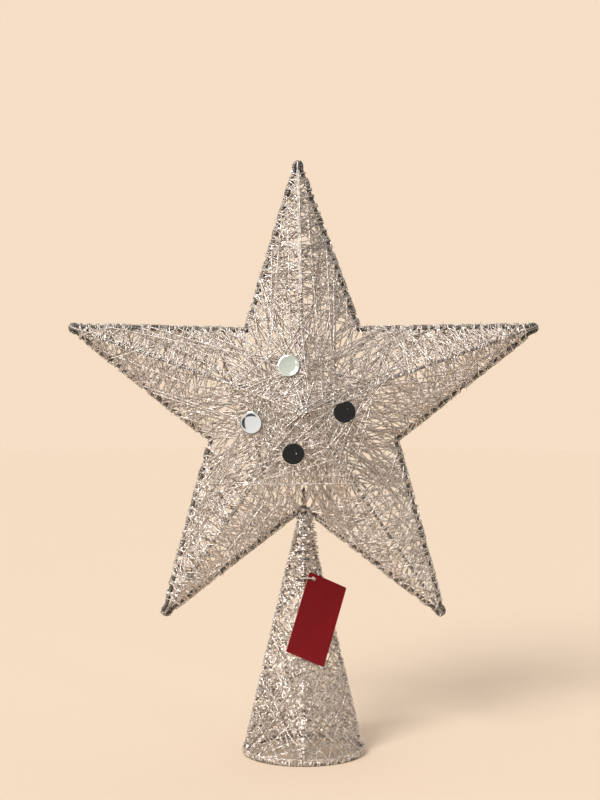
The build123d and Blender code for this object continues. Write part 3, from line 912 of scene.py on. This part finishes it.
    def wound(self, quarters, rng):
        """Path round and round the legs, unevenly up and down the neck."""
        points = []
        above = False
        for quarter in range(quarters):
            share = abs((self.neck_sweeps * quarter / quarters + 1) % 2 - 1)
            height = self.neck_low + (self.neck_high - self.neck_low) * share
            height += rng.uniform(-self.neck_stray, self.neck_stray)
            if quarter % 4 == 2:
                above = height > self.loop_height
            stray = rng.uniform(0.0, self.gap_stray)
            if above and height < self.neck_gap[1]:
                height = self.neck_gap[1] + stray
            elif not above and height > self.neck_gap[0]:
                height = self.neck_gap[0] - stray
            lift = self.layer(self.neck_layers, rng)
            full = min(max((height - self.swell_start) / (self.swell_full - self.swell_start), 0.0), 1.0)
            swell = self.swell * full * rng.uniform(*self.swell_shares)
            for turn in self.neck_turns:
                way = around(LEG_TURNS[quarter % 4] + turn)
                point = leg_axis(quarter, height) + way * (lift + swell * (1 + way.x))
                points += divided(points[-1], point, rng) if points else [point]
        return points

    def tied(self, rng):
        """Path that ties the neck to the star, over the edges beside the lower notch and round the neck."""
        s, y = shape(), yarn()
        reach = s.edge_radius + y.radius * self.tie_layer
        points = []
        for tie in range(self.ties):
            arm, side, way = (("lower_left", 1, 1), ("lower_right", 0, -1))[tie % 2]
            middle, out = edge_spot(ARMS.index(arm), side, rng.uniform(*self.tie_spots))
            over = [round_edge(middle, out, reach, turn) for turn in self.tie_turns]
            height = rng.uniform(*self.tie_heights)
            room = leg_radius(height) + s.leg_wire + y.radius * self.tie_room + self.swell
            aside = room * self.tie_slant
            front, back = (Vector((way * aside, depth * aside, height)) for depth in (-1, 1))
            for point in (front, *over, back):
                points += divided(points[-1], point, rng) if points else [point]
        return points

    def execute(self, context):
        y = yarn()
        rng = random.Random(y.seed + self.cone_seed)
        # Every piece on the cone, the neck too, takes the cone's yarn finish, whose darker dull facets are
        # painted shade
        for quarter, net in enumerate(("front_right", "right_back", "back_left", "left_front")):
            paths = self.runs(quarter, rng) + (self.rungs(quarter, rng) if net == "left_front" else [])
            yarn_piece(f"cone_yarn_{net}", paths, rng, "cone_yarn", [f"cone_net_{net}"], fuzz=0.3)
        paths = [self.wound(y.neck_quarters, rng), self.tied(rng)]
        yarn_piece("neck_yarn", paths, rng, "cone_yarn", ["neck_winding"], fuzz=0.15)
        return {"FINISHED"}


class TOPPER_OT_wires(bpy.types.Operator):
    """Finish the wires of the star and of the cone"""

    bl_idname = "topper.wires"
    bl_label = "Finish the wires"

    def execute(self, context):
        f = finish()
        plain_wires = ("arm_wire_", "cone_leg_", "neck_stem_", "base_ring")
        for name, node in NODES.items():
            if name.startswith(plain_wires):
                paint(node, wire_material("silver_wire", f.wire))
            elif "_ridge_" in name or "_apex_bead" in name:
                paint(node, wire_material("ridge_wire", f.ridge_wire))
        return {"FINISHED"}


class TOPPER_OT_sequins(bpy.types.Operator):
    """Make the mirror sequins"""

    bl_idname = "topper.sequins"
    bl_label = "Make the sequins"
    radius, thickness, corners, upright = 0.007, 0.0008, 48, 0.9
    # Rings of the dished face, each with its width and its drop
    dish = ((0.0007, 0.0), (0.0012, -0.00012), (0.002, -0.0001))
    rim, rim_segments, smooth_angle = 0.0002, 2, 30
    speckle, smoothest, roughest = 900.0, 0.02, 0.09
    # Each sequin, with the arm that comes before its place
    places = {"upper": "top", "right": "lower_right", "lower": "lower_left", "left": "left"}

    def facing(self, place):
        """Way that the yarn between an arm and the next one faces."""
        s = shape()
        apex = in_space(0, s.half_depth)
        ends = []
        for arm in (place, place + 1):
            spot = on_face(s.span_radius, arm_angles()[arm % len(ARMS)])
            ends.append(in_space(spot, ridge_depth(s.span_radius)) - apex)
        normal = ends[0].cross(ends[1]).normalized()
        return normal if normal.y < 0 else -normal

    def execute(self, context):
        material = bpy.data.materials.new("sequin_mirror")
        tree = cleared(material)
        rough = add_node(tree, "MapRange", {
            "Value": noise(tree, self.speckle), "To Min": self.smoothest, "To Max": self.roughest})
        coat(tree, {
            "Base Color": (*finish().mirror, 1), "Metallic": 1.0, "Roughness": rough.outputs["Result"]})
        for name, arm in self.places.items():
            node = f"sequin_{name}"
            deselect()
            bpy.ops.mesh.primitive_cylinder_add(
                vertices=self.corners, radius=self.radius, depth=self.thickness)
            piece = bpy.context.active_object
            piece.name = f"mirror_{node}"
            bpy.ops.object.mode_set(mode="EDIT")
            bpy.ops.mesh.select_mode(type="FACE")
            bpy.ops.mesh.select_all(action="DESELECT")
            bpy.ops.object.mode_set(mode="OBJECT")
            for face in piece.data.polygons:
                face.select = face.normal.z > self.upright
            bpy.ops.object.mode_set(mode="EDIT")
            for inset, drop in self.dish:
                bpy.ops.mesh.inset(thickness=inset)
                bpy.ops.transform.translate(value=(0, 0, drop))
            bpy.ops.object.mode_set(mode="OBJECT")
            bevel = piece.modifiers.new("rim", "BEVEL")
            bevel.width = self.rim
            bevel.segments = self.rim_segments
            bevel.limit_method = "ANGLE"
            bpy.ops.object.modifier_apply(modifier=bevel.name)
            bpy.ops.object.shade_smooth_by_angle(angle=math.radians(self.smooth_angle))
            turn = UP.rotation_difference(self.facing(ARMS.index(arm))).to_matrix().to_4x4()
            piece.data.transform(Matrix.Translation(node_middle(node)) @ turn)
            settle(piece, "topper", material, [node])
        return {"FINISHED"}


class TOPPER_OT_tag(bpy.types.Operator):
    """Finish the hang tag and its loop"""

    bl_idname = "topper.tag"
    bl_label = "Finish the tag"
    # The way that the card faces, and how nearly its flat sides face that way
    tag_normal, flat_from = (0.46947, -0.85946, 0.20231), 0.5
    # Clouds of the card and of the thread: scale, darkest and lightest tone
    card_clouds, nylon_clouds = (70.0, 0.8, 1.25), (900.0, 0.85, 1.0)
    # Fibres of the card: scale and detail, strength and height
    card_fibres, fibre_strength, fibre_height = (1400.0, 4.0), 0.15, 0.0002
    card_roughness, card_shine, nylon_roughness = 0.5, 0.16, 0.3

    def card(self):
        """Red card, paler where its cut edges show."""
        f = finish()
        card = bpy.data.materials.new("tag_card")
        tree = cleared(card)
        normal = add_node(tree, "NewGeometry").outputs["Normal"]
        own = add_node(
            tree, "VectorTransform", {"Vector": normal}, vector_type="NORMAL", convert_from="WORLD",
            convert_to="OBJECT").outputs["Vector"]
        facing = add_node(tree, "VectorMath", {0: own, 1: self.tag_normal}, operation="DOT_PRODUCT")
        either = add_node(tree, "Math", {0: facing.outputs["Value"]}, operation="ABSOLUTE")
        flat = add_node(
            tree, "Math", {0: either.outputs["Value"], 1: self.flat_from}, operation="GREATER_THAN")
        colour = add_node(tree, "Mix", {
            "Factor": flat.outputs["Value"], "A": (*f.card_core, 1),
            "B": mottled(tree, f.card, *self.card_clouds)}, data_type="RGBA")
        relief = add_node(tree, "Bump", {
            "Strength": self.fibre_strength, "Distance": self.fibre_height,
            "Height": noise(tree, *self.card_fibres)})
        coat(tree, {
            "Base Color": colour.outputs["Result"], "Normal": relief.outputs["Normal"],
            "Roughness": self.card_roughness, "Specular IOR Level": self.card_shine})
        return card

    def nylon(self):
        """Pale thread of the loop."""
        nylon = bpy.data.materials.new("tag_loop_nylon")
        tree = cleared(nylon)
        colour = mottled(tree, finish().nylon, *self.nylon_clouds)
        coat(tree, {"Base Color": colour, "Roughness": self.nylon_roughness})
        return nylon

    def execute(self, context):
        paint(NODES["hang_tag"], self.card())
        paint(NODES["tag_loop"], self.nylon())
        return {"FINISHED"}


class TOPPER_OT_stage(bpy.types.Operator):
    """Set up the floor, the light and the camera"""

    bl_idname = "topper.stage"
    bl_label = "Set the stage"
    floor_corners, floor_radius, floor_place = 96, 3, (0, 2.75, 0)
    floor_roughness, floor_shine = 0.9, 0.1
    # Light of the room: its colour, the way to its brightest part, and how its strength grows that way
    room_colour, bright_way = (1.0, 0.95, 0.89), (-0.35, 0.6, 0.7)
    room_range, room_strength = (-0.75, 0.6), (0.03, 0.75)
    sun_strength, sun_size, sun_colour, sun_way = 2.3, 26, (1.0, 0.955, 0.91), (0.45, 0.72, -0.55)
    # Lamps: place, target, size, power, colour and spread
    lamps = {
        "side": ((-0.67, -1.1, 0.27), (0, 0, 0.2), (0.46, 0.76), 0.8, (1.0, 0.98, 0.95), 180),
        "card": ((-0.3, -1.12, 0.63), (0, 0, 0.24), (0.4, 0.4), 0.22, (0.9, 1.0, 0.8), 180),
        "low": ((0.55, -0.75, 0.14), (0.01, 0, 0.035), (0.12, 0.12), 0.013, (1.0, 0.98, 0.95), 14),
    }
    camera_place, camera_lens, camera_sensor = (-0.0022, -0.917, 0.225), 64.5, 36.0

    def floor(self):
        deselect()
        bpy.ops.mesh.primitive_circle_add(
            vertices=self.floor_corners, radius=self.floor_radius, fill_type="NGON", location=self.floor_place)
        bpy.ops.object.transform_apply(location=True)
        floor = bpy.context.active_object
        floor.name = "floor"
        paper = bpy.data.materials.new("pale_floor")
        coat(cleared(paper), {
            "Base Color": (*finish().floor, 1), "Roughness": self.floor_roughness,
            "Specular IOR Level": self.floor_shine})
        paint(floor, paper)

    def room(self):
        """World: the pale backdrop that the camera sees, and a room that is bright behind and dim in front."""
        world = bpy.data.worlds.new("room")
        bpy.context.scene.world = world
        tree = cleared(world)
        seen = add_node(tree, "Background", {"Color": (*finish().backdrop, 1)})
        place = add_node(tree, "TexCoord").outputs["Generated"]
        way = Vector(self.bright_way).normalized()
        towards = add_node(tree, "VectorMath", {0: place, 1: way}, operation="DOT_PRODUCT")
        (away, near), (dim, bright) = self.room_range, self.room_strength
        strength = add_node(tree, "MapRange", {
            "Value": towards.outputs["Value"], "From Min": away, "From Max": near, "To Min": dim,
            "To Max": bright}, interpolation_type="SMOOTHSTEP").outputs["Result"]
        room = add_node(tree, "Background", {"Color": (*self.room_colour, 1), "Strength": strength})
        by_camera = add_node(tree, "LightPath").outputs["Is Camera Ray"]
        mix = add_node(tree, "MixShader", {
            0: by_camera, 1: room.outputs["Background"], 2: seen.outputs["Background"]})
        add_node(tree, "OutputWorld", {"Surface": mix.outputs["Shader"]})

    def hung(self, name, data, way):
        """Lamp that shines one way."""
        lamp = bpy.data.objects.new(name, data)
        bpy.context.scene.collection.objects.link(lamp)
        lamp.rotation_euler = Vector(way).to_track_quat("-Z", "Y").to_euler()
        return lamp

    def sun(self):
        data = bpy.data.lights.new("daylight", "SUN")
        data.energy = self.sun_strength
        data.angle = math.radians(self.sun_size)
        data.color = self.sun_colour
        self.hung("daylight", data, self.sun_way)

    def lamp(self, name, place, target, size, power, colour, spread):
        data = bpy.data.lights.new(name, "AREA")
        data.spread = math.radians(spread)
        data.shape = "RECTANGLE"
        data.size, data.size_y = size
        data.energy = power
        data.color = colour
        lamp = self.hung(name, data, Vector(target) - Vector(place))
        lamp.location = place

    def camera(self):
        data = bpy.data.cameras.new("camera")
        data.sensor_fit = "VERTICAL"
        data.sensor_height = self.camera_sensor
        data.lens = self.camera_lens
        camera = bpy.data.objects.new("camera", data)
        bpy.context.scene.collection.objects.link(camera)
        camera.location = self.camera_place
        camera.rotation_euler = (math.radians(90), 0, 0)
        bpy.context.scene.camera = camera

    def execute(self, context):
        context.scene.view_settings.view_transform = "Standard"
        self.floor()
        self.room()
        self.sun()
        for name, values in self.lamps.items():
            self.lamp(name, *values)
        self.camera()
        return {"FINISHED"}


class TOPPER_PT_panel(bpy.types.Panel):
    """Steps of the tree topper"""

    bl_label = "Tree Topper"
    bl_idname = "TOPPER_PT_panel"
    bl_space_type = "VIEW_3D"
    bl_region_type = "UI"
    bl_category = "Tree Topper"

    def draw(self, context):
        for step in STEPS:
            self.layout.operator(step.bl_idname)
        for group in (shape(), yarn(), finish()):
            box = self.layout.box()
            for name in group.__annotations__:
                box.prop(group, name)


STEPS = (
    TOPPER_OT_star_yarn, TOPPER_OT_edge_yarn, TOPPER_OT_cone_yarn, TOPPER_OT_wires, TOPPER_OT_sequins,
    TOPPER_OT_tag, TOPPER_OT_stage,
)
CLASSES = (TopperShape, TopperYarn, TopperFinish, *STEPS, TOPPER_PT_panel)


def register():
    for each in CLASSES:
        bpy.utils.register_class(each)
    bpy.types.Scene.topper_shape = PointerProperty(type=TopperShape)
    bpy.types.Scene.topper_yarn = PointerProperty(type=TopperYarn)
    bpy.types.Scene.topper_finish = PointerProperty(type=TopperFinish)


def unregister():
    for name in ("topper_finish", "topper_yarn", "topper_shape"):
        delattr(bpy.types.Scene, name)
    for each in reversed(CLASSES):
        bpy.utils.unregister_class(each)


def main():
    register()
    bpy.ops.topper.star_yarn()
    bpy.ops.topper.edge_yarn()
    bpy.ops.topper.cone_yarn()
    bpy.ops.topper.wires()
    bpy.ops.topper.sequins()
    bpy.ops.topper.tag()
    bpy.ops.topper.stage()


if __name__ == "__main__":
    main()
